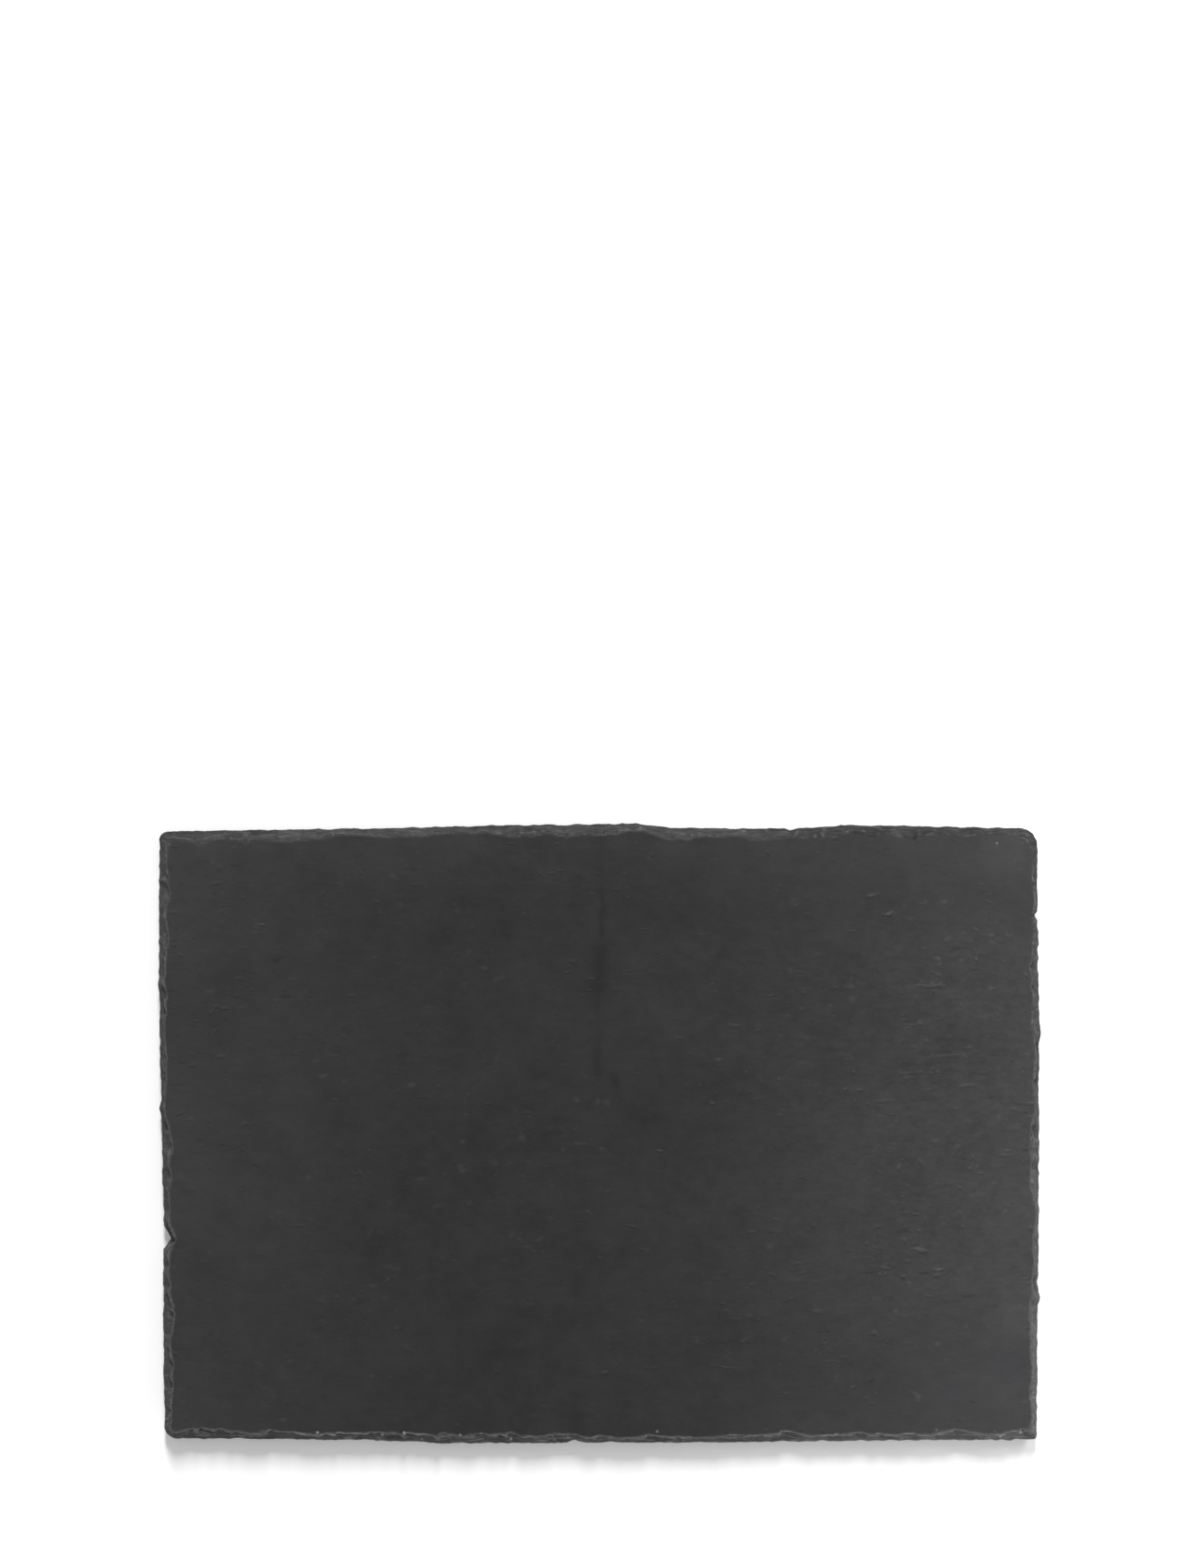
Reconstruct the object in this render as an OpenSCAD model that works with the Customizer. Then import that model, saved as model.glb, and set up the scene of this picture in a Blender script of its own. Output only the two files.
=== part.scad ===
// Slate serving board: one slab of riven slate with hand-dressed edges, standing
// on four self-adhesive rubber feet. It lies flat, its long side along X and its
// serving face up. The origin is on the table, under the middle of the board.

/* [Slab] */
// Length, over the chips that stand out furthest
board_length = 330; // [240:1:450]
// Width, over the chips that stand out furthest
board_width = 232; // [170:1:320]
// Thickness of the slate
slate_thickness = 5.5; // [4:0.1:9]

/* [Dressed edge] */
// Width of the bevel round the serving face before anything has flaked off
bevel_width = 1.1; // [0.4:0.1:2]
// Distance over which the bevel swells and narrows
sway_pitch = 15; // [10:0.5:30]
// How far the broken lower arris steps back
lower_step = 0.9; // [0.3:0.1:1.8]
// Length of a splinter that has come away along a plane of the slate
splinter_pitch = 13; // [8:0.5:20]
// How far the edge steps in where a splinter has come away
splinter_bite = 1.1; // [0.2:0.1:1.5]
// Distance from one broad flake scar to the next
flake_pitch = 17; // [12:0.5:26]
// How far a broad flake scar bites in
flake_bite = 1; // [0.5:0.1:2]
// Distance from one small chip to the next
chip_pitch = 6.5; // [5:0.5:12]
// How far a small chip bites in
chip_bite = 0.6; // [0.2:0.1:1.2]
// Depth of the grain that roughens every broken surface
grain_depth = 0.3; // [0:0.05:0.5]
// How far the trimmed sides wander from a straight line
trim_sway = 3.1; // [0:0.1:4]
// Depth of the deepest nick in the outline
nick_depth = 2.8; // [0.5:0.1:3.5]
// Half the width of the widest nick in the outline
nick_reach = 4.4; // [3:0.1:7]

/* [Corners] */
// Radius of the front right corner
front_right_round = 1.6; // [1:0.1:14]
// Radius of the back right corner, which has lost a chip
back_right_round = 7; // [1:0.1:16]
// Radius of the back left corner
back_left_round = 3.6; // [1:0.1:14]
// Radius of the front left corner
front_left_round = 5.6; // [1:0.1:14]

/* [Serving face] */
// Depth of the natural seam that runs in from the back edge
seam_depth = 0.3; // [0.1:0.05:0.6]
// Greatest width of the seam
seam_width = 5.5; // [1:0.1:8]
// Depth of the shallow scars where a leaf of slate has come away
scar_depth = 0.4; // [0.1:0.05:0.8]
// Radius of the widest scar
scar_radius = 11; // [5:0.5:16]

/* [Feet] */
// Diameter of a foot where it meets its adhesive disc
foot_diameter = 12.7; // [9:0.1:20]
// Height of a foot
foot_height = 2.8; // [1.6:0.1:6]
// How much a foot's radius narrows from its seat to its tread
foot_taper = 0.4; // [0:0.1:1]
// Radius of the rounded rim of a foot's tread
foot_round = 0.8; // [0.3:0.1:1.4]
// Distance of a foot's centre from the long and short sides beside it
foot_inset = 27; // [16:1:50]
// Thickness of an adhesive disc
adhesive_thickness = 0.2; // [0.1:0.05:0.6]
// How far an adhesive disc stops short of its foot's rim
adhesive_margin = 0.5; // [0.2:0.1:1.5]

/* [Detail] */
// Distance between the stations where the edge is worked out
station_pitch = 2.6; // [2.4:0.1:5]

/* [Hidden] */

slate_colour = "#3a3a3c";
rubber_colour = "#1b1b1c";
adhesive_colour = "#c9c7bf";

slate_base = foot_height + adhesive_thickness;
slate_top = slate_base + slate_thickness;

// Sides and corners are counted anticlockwise, and corner k follows side k:
// front side, front right corner, right side, back right corner, and so on.
SIDES = [0:3];
quarter = 90;
corner_round = [front_right_round, back_right_round, back_left_round, front_left_round];
half_run = [board_length / 2, board_width / 2, board_length / 2, board_width / 2];
half_out = [board_width / 2, board_length / 2, board_width / 2, board_length / 2];

// Least radius that a corner keeps where the bevel eats into it
least_round = min(corner_round) / 2;

// Where each trimmed side lies inside the box: [share of the side, share of the sway]
trim_shares = [
    [[0, 0.6], [0.2, 0.45], [0.28, 0.2], [0.3, 0], [0.6, 0.1], [0.85, 0.35], [1, 0.45]],
    [[0, 0.55], [0.2, 0.4], [0.3, 0.3], [0.68, 0.2], [0.83, 0.35], [1, 0.45]],
    [[0, 0.6], [0.11, 0.3], [0.21, 0.2], [0.25, 0.5], [0.31, 0.6], [0.41, 0.55], [0.45, 0],
        [0.61, 0.25], [0.8, 0.65], [1, 1]],
    [[0, 0.25], [0.25, 0.15], [0.4, 0.4], [0.65, 0.75], [0.8, 0.7], [1, 0.85]],
];

// Nicks cut in and nibs left standing in the outline:
// [side, share of the side, share of the nick's depth, share of the nick's reach]
nick_shares = [
    [0, 0.465, 0.35, 0.8],
    [1, 0.235, -0.35, 0.6],
    [1, 0.685, -0.2, 1.2],
    [1, 0.882, 0.5, 0.4],
    [2, 0.27, 0.25, 0.6],
    [3, 0.46, -0.3, 0.8],
    [3, 0.68, 1, 1],
];

// How wide the bevel and its splinters are on each side, and how much that sways
breadth_shares = [1, 0.6, 1.1, 0.95];
sway_shares = [0.3, 0.4, 0.25, 0.35];

// Section of the dressed edge from the lower arris to the serving face: levels below the
// planes of the slate, the planes, and how the bevel and the lower step go with height
low_shares = [0, 0.16, 0.36];
plane_shares = [0.43, 0.57, 0.71, 0.85];
bevel_shares = [[0, 0], [0.16, 0], [0.36, 0.04], [0.5, 0.2], [1, 1]];
step_shares = [[0, 1], [0.16, 0.2], [0.36, 0], [1, 0]];

// Rise of a ledge, and how much a plane dips along a splinter, over the thickness
ledge_share = 0.03;
dip_share = 0.07;

// How many splinters are gone, how deep they are, and how much of one is its blunt end
lost_share = 0.55;
splinter_shares = [0.3, 1];
blunt_share = 0.12;

// Line of the seam:
// [share of the length, share of the width, share of its width, share of its depth]
seam_shares = [
    [0.001, 0.49, 0.35, 0.4], [0, 0.444, 0.3, 0.3], [0.001, 0.398, 0.25, 0.35],
    [0.003, 0.382, 0.55, 0.65], [0.003, 0.367, 0.25, 0.45], [0.003, 0.355, 0.5, 0.6],
    [0.001, 0.328, 0.35, 0.55], [0.003, 0.32, 0.4, 0.85], [0.001, 0.31, 0.15, 0.2],
    [0, 0.293, 0.55, 0.7], [0, 0.266, 1, 1], [-0.003, 0.235, 0.95, 0.8],
    [0, 0.213, 0.6, 0.7], [-0.004, 0.174, 0.4, 0.3], [-0.003, 0.151, 0.35, 0.5],
    [-0.003, 0.118, 0.45, 0.6], [-0.002, 0.099, 0.8, 1], [0.006, 0.09, 0.4, 0.3],
    [0.0165, 0.084, 0.65, 0.9], [0.021, 0.065, 0.5, 0.5], [0.031, 0.036, 0.35, 0.55],
    [0.035, 0.018, 0.2, 0.2],
];

// Scars in the serving face:
// [share of the length, share of the width, share of the radius, share of the depth]
scar_shares = [
    [-0.482, -0.11, 0.75, 0.9], [-0.489, -0.06, 0.5, 1], [0.478, -0.29, 0.8, 1],
    [0.487, -0.24, 0.5, 0.8], [-0.43, 0.478, 1, 0.9], [-0.38, 0.48, 0.6, 1],
    [0.462, 0.468, 1, 1], [0.09, 0.485, 0.9, 0.8], [0.245, -0.485, 1, 0.8],
    [-0.05, -0.488, 0.9, 0.8],
];

// Corners of the board that carry a foot: [side of X, side of Y]
left = -1;
right = 1;
front = -1;
back = 1;

// How a scar of the dressed edge may vary, each as [least share, greatest share]:
// its middle along the pitch, its reach over the pitch, its middle over the thickness,
// its rise over the thickness, and its depth over the bite
middle_shares = [0.2, 0.8];
reach_shares = [0.45, 0.95];
level_shares = [0.65, 1.05];
rise_shares = [0.3, 0.7];
bite_shares = [0.35, 1];

$fn = 96;
scar_facets = 140;
rim_steps = 8;

// Terms of the repeatable chance numbers, and a stream for each thing that varies
chance_step = 127.1;
chance_stride = 311.7;
chance_gain = 43758.5453;
flake_stream = 1;
chip_stream = 6;
grain_stream = 11;
sway_stream = 58;
splinter_stream = 60;
dip_stream = 100;
start_stream = 2;

// A repeatable number from 0 to 1 for item i of a stream
function chance(i, stream) =
    let (v = sin(i * chance_step + stream * chance_stride) * chance_gain)
    v - floor(v);
function between(limits, t) = limits[0] + (limits[1] - limits[0]) * t;

// From 0 to 1, with a level start and end
function eased(t) = t * t * (3 - 2 * t);

function before(k) = (k + 3) % 4;
function after(k) = (k + 1) % 4;
function trim(k, u) = trim_sway * lookup(u, trim_shares[k]);
function side_span(k) = 2 * half_run[k] - corner_round[k] - corner_round[before(k)];
function corner_span(k) = max(corner_round[k] - bevel_width, least_round) * PI / 2;
function start_of(k) = k == 0 ? 0 : start_of(k - 1) + side_span(k - 1) + corner_span(k - 1);
girth = start_of(3) + side_span(3) + corner_span(3);

// Stations round the edge: [side, share of the stretch, in its corner or not, distance round]
function stretch(k, in_corner) =
    let (
        span = in_corner ? corner_span(k) : side_span(k),
        drawn = in_corner ? corner_round[k] * PI / 2 : span,
        start = start_of(k) + (in_corner ? side_span(k) : 0),
        count = max(3, round(drawn / station_pitch))
    )
    [for (i = [0:count - 1]) [k, i / count, in_corner, start + span * i / count]];
stations = [for (k = SIDES) for (in_corner = [false, true]) each stretch(k, in_corner)];

// Depth of scar i at distance s round the edge and share h of the thickness. A scar is
// a dish that is deepest at its middle, as a flake struck off stone leaves it.
function dish(s, h, i, pitch, bite, stream) =
    let (
        n = round(girth / pitch),
        item = (i + n) % n,
        middle = (i + between(middle_shares, chance(item, stream))) * girth / n,
        reach = pitch * between(reach_shares, chance(item, stream + 1)),
        level = between(level_shares, chance(item, stream + 2)),
        rise = between(rise_shares, chance(item, stream + 3)),
        depth = bite * between(bite_shares, chance(item, stream + 4)),
        across = (s - middle) / reach,
        up = (h - level) / rise
    )
    depth * max(0, 1 - across * across - up * up);

// Neighbouring scars meet in a ridge, because the deepest one counts
function scars(s, h, pitch, bite, stream) =
    let (nearest = floor(s * round(girth / pitch) / girth))
    max([for (i = [nearest - 1:nearest + 1]) dish(s, h, i, pitch, bite, stream)]);

// Nicks and nibs at share u of side k, added up
function nicks(k, u) =
    nick_depth
        * [for (nick = nick_shares) nick[0] == k ? nick[2] : 0]
        * [for (nick = nick_shares)
            max(0, 1 - abs(u - nick[1]) * side_span(k) / (nick_reach * nick[3]))];

// Each side's own share at a station, mixed in the corners
function by_side(st, shares) =
    st[2] ? between([shares[st[0]], shares[after(st[0])]], st[1]) : shares[st[0]];

// Smooth waves from -1 to 1 round the edge, which meet themselves at the end
function sway(s) =
    let (
        n = round(girth / sway_pitch),
        item = floor(s / girth * n),
        ends = [chance(item % n, sway_stream), chance((item + 1) % n, sway_stream)]
    )
    2 * between(ends, eased(s / girth * n - item)) - 1;

function breadth(st) = by_side(st, breadth_shares) * (1 + by_side(st, sway_shares) * sway(st[3]));

// Splinter at distance s round the edge on plane p: how deep it is there, and how far
// along it that is, from -0.5 to 0.5. It starts bluntly at one end and thins out to the other.
function splinter(s, p) =
    let (
        stream = splinter_stream + 3 * p,
        n = round(girth / splinter_pitch),
        place = s / girth * n + chance(stream, start_stream),
        item = floor(place) % n,
        run = place - floor(place),
        along = chance(item, stream + 2) < 0.5 ? run : 1 - run,
        lost = chance(item, stream) < lost_share ? 1 : 0,
        depth = between(splinter_shares, chance(item, stream + 1))
    )
    [lost * depth * min(along / blunt_share, 1) * (1 - along), along - 0.5];

// Distance round the edge that sets a station's splinters. A corner breaks as one piece.
function break_place(st) =
    st[2] ? start_of(st[0]) + side_span(st[0]) + corner_span(st[0]) / 2 : st[3];

PLANES = [0:len(plane_shares) - 1];
splinters = [for (st = stations) [for (p = PLANES) splinter(break_place(st), p)]];
dips = [for (p = PLANES) dip_share * (2 * chance(p, dip_stream) - 1)];

// Levels up the edge, two for the ledge on each plane:
// [share of the thickness, plane it lies on or -1, planes passed]
levels = [
    for (h = low_shares) [h, -1, 0],
    for (p = PLANES) each [[plane_shares[p], p, p], [plane_shares[p] + ledge_share, p, p + 1]],
    [1, -1, len(plane_shares)],
];
LEVELS = [0:len(levels) - 1];

// Share of the thickness at station i and level j. A plane dips along its splinters.
function height_share(i, j) =
    let (p = levels[j][1])
    levels[j][0] + (p < 0 ? 0 : dips[p] * splinters[i][p][1]);

// How far splinters step in at station i, up to level j
function stepped(i, j) =
    splinter_bite
        * [for (p = PLANES) p < levels[j][2] ? 1 : 0]
        * [for (p = PLANES) splinters[i][p][0]];

// How far station i lies inside the trimmed outline at level j
function inset(i, j) =
    let (
        st = stations[i],
        h = height_share(i, j)
    )
    breadth(st) * (bevel_width * lookup(h, bevel_shares) + stepped(i, j))
        + lower_step * lookup(h, step_shares)
        + scars(st[3], h, flake_pitch, flake_bite, flake_stream)
        + scars(st[3], h, chip_pitch, chip_bite, chip_stream)
        + grain_depth * chance(j * len(stations) + i, grain_stream)
        + (st[2] ? 0 : nicks(st[0], st[1]));

// Point of the outline at a station, moved in by d. Corners shrink about their centres.
function outline_point(st, d) =
    let (
        k = st[0],
        u = st[1],
        start_round = max(corner_round[before(k)] - d, least_round),
        end_round = max(corner_round[k] - d, least_round),
        from = start_round + d + trim(before(k), 1) - half_run[k],
        to = half_run[k] - trim(after(k), 0) - d - end_round,
        out = half_out[k] - trim(k, st[2] ? 1 : u) - d,
        along = st[2] ? to + end_round * sin(quarter * u) : from + (to - from) * u,
        away = st[2] ? out - end_round * (1 - cos(quarter * u)) : out
    )
    along * [cos(quarter * k), sin(quarter * k)] + away * [sin(quarter * k), -cos(quarter * k)];

raw_rings = [
    for (j = LEVELS)
        [for (i = [0:len(stations) - 1]) outline_point(stations[i], inset(i, j))]
];
raw_x = [for (ring = raw_rings) for (p = ring) p.x];
raw_y = [for (ring = raw_rings) for (p = ring) p.y];
raw_low = [min(raw_x), min(raw_y)];
raw_size = [max(raw_x), max(raw_y)] - raw_low;

// The raw outline is brought to the board's box, so that its furthest chips touch it
function in_box(p) = [
    ((p.x - raw_low.x) / raw_size.x - 0.5) * board_length,
    ((p.y - raw_low.y) / raw_size.y - 0.5) * board_width,
];

function middle_of(ring) = [for (p = ring) 1] * ring / len(ring);

// Solid through a row of rings with as many points each, closed by a fan at either end.
// Seen from beyond the last ring, the points of each run anticlockwise.
module lofted(rings) {
    m = len(rings[0]);
    n = len(rings);
    first_middle = n * m;
    last_middle = first_middle + 1;
    points = [for (ring = rings) each ring, middle_of(rings[0]), middle_of(rings[n - 1])];
    walls = [
        for (j = [0:n - 2]) for (i = [0:m - 1])
            let (a = j * m + i, b = j * m + (i + 1) % m) each [[a, a + m, b], [b, a + m, b + m]]
    ];
    first_end = [for (i = [0:m - 1]) [first_middle, i, (i + 1) % m]];
    last_end = [for (i = [0:m - 1]) [last_middle, (n - 1) * m + (i + 1) % m, (n - 1) * m + i]];
    polyhedron(points, concat(walls, first_end, last_end));
}

// The slab with every flake of its dressed edge
module dressed_slab() {
    lofted([
        for (j = LEVELS) [
            for (i = [0:len(stations) - 1])
                let (q = in_box(raw_rings[j][i]))
                [q.x, q.y, slate_base + slate_thickness * height_share(i, j)]
        ]
    ]);
}

// Sharp-bottomed valley along the seam's line, drawn to twice its depth so that it
// runs out through the serving face
module seam() {
    lofted([
        for (row = seam_shares)
            let (
                x = row[0] * board_length,
                y = row[1] * board_width,
                w = row[2] * seam_width,
                deep = row[3] * seam_depth
            )
            [[x, y, slate_top - deep], [x + w, y, slate_top + deep], [x - w, y, slate_top + deep]]
    ]);
}

// A shallow scar in the face, cut by the underside of a large ball
module face_scar(x, y, radius, depth) {
    ball = (radius * radius + depth * depth) / (2 * depth);
    translate([x, y, slate_top - depth + ball])
        sphere(ball, $fn = scar_facets);
}

module slate_slab() {
    color(slate_colour)
        difference() {
            dressed_slab();
            seam();
            for (row = scar_shares)
                face_scar(row[0] * board_length, row[1] * board_width,
                    row[2] * scar_radius, row[3] * scar_depth);
        }
}

module at_corner(x_side, y_side) {
    translate([
        x_side * (board_length / 2 - foot_inset),
        y_side * (board_width / 2 - foot_inset),
        0,
    ])
        children();
}

// Moulded foot: a flat tread with a rounded rim, and sides that widen up to the seat
module foot() {
    seat_radius = foot_diameter / 2;
    rim_centre = seat_radius - foot_taper - foot_round;
    rim = [
        for (a = [-quarter:quarter / rim_steps:0])
            [rim_centre + foot_round * cos(a), foot_round + foot_round * sin(a)]
    ];
    color(rubber_colour)
        rotate_extrude()
            polygon(concat([[0, 0]], rim, [[seat_radius, foot_height], [0, foot_height]]));
}

// Disc of adhesive between a foot and the slate
module adhesive() {
    color(adhesive_colour)
        translate([0, 0, foot_height])
            cylinder(r = foot_diameter / 2 - adhesive_margin, h = adhesive_thickness);
}

slate_slab();
at_corner(left, front) foot();  // foot_front_left
at_corner(right, front) foot();  // foot_front_right
at_corner(left, back) foot();  // foot_back_left
at_corner(right, back) foot();  // foot_back_right
at_corner(left, front) adhesive();  // adhesive_front_left
at_corner(right, front) adhesive();  // adhesive_front_right
at_corner(left, back) adhesive();  // adhesive_back_left
at_corner(right, back) adhesive();  // adhesive_back_right
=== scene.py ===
"""Slate serving board: a riven slab with a hand-dressed edge, on four rubber feet.

The slab is worked out as the solid model's is, with the same sides, ledges, flakes and
chips, at a finer grid, and gets finer breaks, a frayed seam and the waves of its riven
faces. Lengths are in millimetres until a mesh is made. Shares are of the side, width,
height or depth that they go with.
"""

import math

import bpy
import numpy as np
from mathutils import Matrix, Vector


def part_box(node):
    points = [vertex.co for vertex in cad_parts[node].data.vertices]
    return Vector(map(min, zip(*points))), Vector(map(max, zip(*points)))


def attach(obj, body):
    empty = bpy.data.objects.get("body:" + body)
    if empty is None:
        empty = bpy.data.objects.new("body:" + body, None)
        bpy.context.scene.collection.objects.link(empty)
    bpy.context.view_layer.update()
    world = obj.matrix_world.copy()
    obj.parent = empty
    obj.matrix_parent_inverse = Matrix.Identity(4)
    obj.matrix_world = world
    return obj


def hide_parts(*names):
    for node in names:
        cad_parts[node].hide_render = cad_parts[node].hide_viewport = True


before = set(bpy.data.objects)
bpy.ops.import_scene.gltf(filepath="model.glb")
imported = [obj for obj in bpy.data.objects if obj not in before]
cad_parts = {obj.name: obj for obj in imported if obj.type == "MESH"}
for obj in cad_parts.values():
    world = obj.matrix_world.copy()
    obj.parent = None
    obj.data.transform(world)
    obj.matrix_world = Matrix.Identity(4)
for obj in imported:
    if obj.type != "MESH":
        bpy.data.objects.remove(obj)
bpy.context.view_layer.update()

MM = 0.001
QUARTER = math.pi / 2
BODY = "root"

# Sizes that the frame gives
slab_low, slab_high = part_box("slate_slab")
board_length = (slab_high.x - slab_low.x) / MM
board_width = (slab_high.y - slab_low.y) / MM
slate_base = slab_low.z / MM
slate_top = slab_high.z / MM
slate_thickness = slate_top - slate_base
foot_boxes = {name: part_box(name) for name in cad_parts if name.startswith("foot_")}

# Dressed edge, as in the solid model
bevel_width = 1.1
sway_pitch = 15
lower_step = 0.9
splinter_pitch = 13
splinter_bite = 1.1
grain_depth = 0.3
trim_sway = 3.1
nick_depth = 2.8
nick_reach = 4.4
corner_round = np.array([1.6, 7, 3.6, 5.6])
least_round = corner_round.min() / 2
half_run = np.array([board_length, board_width, board_length, board_width]) / 2
half_out = np.array([board_width, board_length, board_width, board_length]) / 2

breadth_shares = np.array([1, 0.6, 1.1, 0.95])
sway_shares = np.array([0.3, 0.4, 0.25, 0.45])
plane_shares = (0.43, 0.57, 0.71, 0.85)
ledge_share = 0.03
dip_share = 0.07
lost_share = 0.55
splinter_shares = (0.3, 1)
blunt_share = 0.12
sway_stream, splinter_stream, dip_stream, start_stream = 58, 60, 100, 2

# Dishes struck off the edge: pitch, bite, stream, and how far under the arris they lie.
# The solid has the flakes and chips too. The others are only in this mesh.
flakes = (17, 1, 1, 0)
chips = (6.5, 0.6, 6, 0)
crumbs = (3.4, 0.45, 21, 0)
dents = (1.7, 0.22, 31, 0)
spalls = (5, 0.5, 71, 0.45)

# Thin leaves and grain of the edge, and the tone of its treads, only in this mesh
leaf_shares = (0.36, 0.5, 0.64, 0.78, 0.92)
leaf_pitch, leaf_bite, leaf_stream = 6, 0.35, 140
grain_size, grain_start, grain_stream = 1.6, 40, 54
# Each side's painted light and shade on the edge: lighter on the front and left, darker on the
# right and back
side_shading_shares = np.array([0.13, -0.13, -0.29, 0.08])
tread_tone_gain, tread_tone_pitch, tread_tone_stream = 0.18, 5, 170

# Sides from the front round to the left: places along each, and how far in it lies there
trim_shares = [
    [(0, 0.6), (0.2, 0.45), (0.28, 0.2), (0.3, 0), (0.6, 0.1), (0.85, 0.35), (1, 0.45)],
    [(0, 0.55), (0.2, 0.4), (0.3, 0.3), (0.68, 0.2), (0.83, 0.35), (1, 0.45)],
    [(0, 0.6), (0.11, 0.3), (0.21, 0.2), (0.25, 0.5), (0.31, 0.6), (0.41, 0.55), (0.45, 0),
     (0.61, 0.25), (0.8, 0.65), (1, 1)],
    [(0, 0.25), (0.25, 0.15), (0.4, 0.4), (0.65, 0.75), (0.8, 0.7), (1, 0.85)],
]

# Nicks, and nibs where the depth is below 0: side, place along it, depth and reach
nick_shares = [
    (0, 0.465, 0.35, 0.8),
    (1, 0.235, -0.35, 0.6),
    (1, 0.685, -0.2, 1.2),
    (1, 0.882, 0.5, 0.4),
    (2, 0.27, 0.25, 0.6),
    (3, 0.46, -0.3, 0.8),
    (3, 0.68, 1, 1),
]

# Section of the edge from the lower arris up: height and inset
bevel_shares = np.array([(0, 0), (0.16, 0), (0.36, 0.04), (0.5, 0.2), (1, 1)])
step_shares = np.array([(0, 1), (0.16, 0.2), (0.36, 0), (1, 0)])

# Ranges of a struck dish's middle, reach, level, rise and bite
middle_shares = (0.2, 0.8)
reach_shares = (0.45, 0.95)
level_shares = (0.65, 1.05)
rise_shares = (0.3, 0.7)
bite_shares = (0.35, 1)

# Seam and scars of the serving face, at the solid model's places
seam_depth = 0.13
seam_width = 5.5
seam_least_reach = 0.5
seam_bell = 1.6
seam_sway, seam_sway_size, seam_sway_stream = 0.5, 3.5, 37
seam_fray, seam_fray_size, seam_fray_stream = 0.5, 2.5, 36
seam_fray_mean, seam_fray_stretch = 1.4, 0.3
seam_evening = np.linspace(-0.05, 0.05, 11)
seam_ease = 3
scar_depth = 0.4
scar_radius = 11
scar_fray, scar_fray_size, scar_fray_stream = 0.2, 6, 38

# The seam's line from the back down: place across and up, width and strength
seam_shares = np.array([
    (0.001, 0.49, 0.8, 0.3), (0, 0.444, 0.7, 0.3), (0.001, 0.398, 0.3, 0.35),
    (0.003, 0.382, 0.25, 0.75), (0.003, 0.367, 0.15, 0.5), (0.003, 0.355, 0.25, 0.7),
    (0.001, 0.328, 0.2, 0.6), (0.003, 0.32, 0.25, 0.9), (0.001, 0.31, 0.2, 0.15),
    (0.001, 0.293, 0.6, 0.75), (0, 0.266, 1, 0.9), (-0.003, 0.235, 0.95, 0.7),
    (-0.001, 0.205, 0.5, 0.45), (-0.002, 0.174, 0.4, 0.15), (-0.002, 0.151, 0.4, 0.45),
    (-0.002, 0.118, 0.45, 0.6), (-0.0035, 0.096, 0.6, 0.85), (-0.002, 0.0925, 0.4, 0),
    (0.013, 0.0915, 0.4, 0), (0.016, 0.087, 0.55, 0.8), (0.0185, 0.076, 0.4, 0.5),
    (0.0215, 0.062, 0.3, 0.35), (0.03, 0.038, 0.3, 0.3), (0.034, 0.022, 0.25, 0.05),
])

# Scars: place across and up, size and depth
scar_shares = [
    (-0.482, -0.11, 0.75, 0.9), (-0.489, -0.06, 0.5, 1), (0.478, -0.29, 0.8, 1),
    (0.487, -0.24, 0.5, 0.8), (-0.43, 0.478, 1, 0.9), (-0.38, 0.48, 0.6, 1),
    (0.462, 0.468, 1, 1), (0.09, 0.485, 0.9, 0.8), (0.245, -0.485, 1, 0.8),
    (-0.05, -0.488, 0.9, 0.8),
]

# Riven faces: height, size and stream of each slow wave, and height, size, count and
# stream of the leaf steps
face_waves = ((0.07, 70, 31), (0.06, 24, 32), (0.022, 7, 33))
face_leaves = (0.08, 60, 3, 34)
face_drop = 0.16
under_waves = ((0.09, 60, 41), (0.04, 18, 42))
under_leaves = (0.07, 70, 4, 43)
under_rise = 0.12
leaf_riser = 0.15

# Grid of the slab: stations along a long and a short side, and levels up the edge
long_stations = 472
short_stations = 328
levels = 27
seam_crowding = 6
seam_crowd_width = 2
seam_pull_reach = 18
fade_share = 0.2
face_clearing, step_clearing, under_clearing = 1.1, 0.8, 2
clearing_stations = 4
arris_step = 0.45

chance_step = 127.1
chance_stride = 311.7
chance_gain = 43758.5453
row_stride = 57.3
density_steps = 20001


def chance(item, stream):
    """Repeatable numbers from 0 to 1: the fraction of a large multiple of a sine."""
    value = np.sin(np.radians(item * chance_step + stream * chance_stride)) * chance_gain
    return value - np.floor(value)


def between(limits, share):
    """The value that lies a share of the way from one limit to the other."""
    return limits[0] + (limits[1] - limits[0]) * share


def eased(t):
    """Goes from 0 to 1 with a level start and end."""
    t = np.clip(t, 0, 1)
    return t * t * (3 - 2 * t)


def ripple(x, y, size, stream):
    """Smooth noise from -1 to 1: chance numbers on a square lattice, eased between."""
    column, row = np.floor(x / size), np.floor(y / size)
    across, up = eased(x / size - column), eased(y / size - row)

    def corner(right, above):
        """The chance number of one corner of each point's square."""
        return chance(column + right + row_stride * (row + above), stream)

    near = corner(0, 0) * (1 - across) + corner(1, 0) * across
    far = corner(0, 1) * (1 - across) + corner(1, 1) * across
    return 2 * (near * (1 - up) + far * up) - 1


def ripple_round(s, size, stream):
    """Smooth noise from -1 to 1 along the girth, which meets itself at the end."""
    count = round(girth / size)
    place = s / girth * count
    item = np.floor(place)
    share = eased(place - item)
    return 2 * (chance(item % count, stream) * (1 - share)
                + chance((item + 1) % count, stream) * share) - 1


def side_span(k):
    """Length of the straight run of side k: front, right, back or left."""
    return 2 * half_run[k] - corner_round[k] - corner_round[k - 1]


def corner_span(k):
    """Length of the quarter circle round corner k, at the end of side k."""
    return max(corner_round[k] - bevel_width, least_round) * QUARTER


starts = [0]
for k in range(4):
    starts.append(starts[k] + side_span(k) + corner_span(k))
girth = starts[4]


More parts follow.
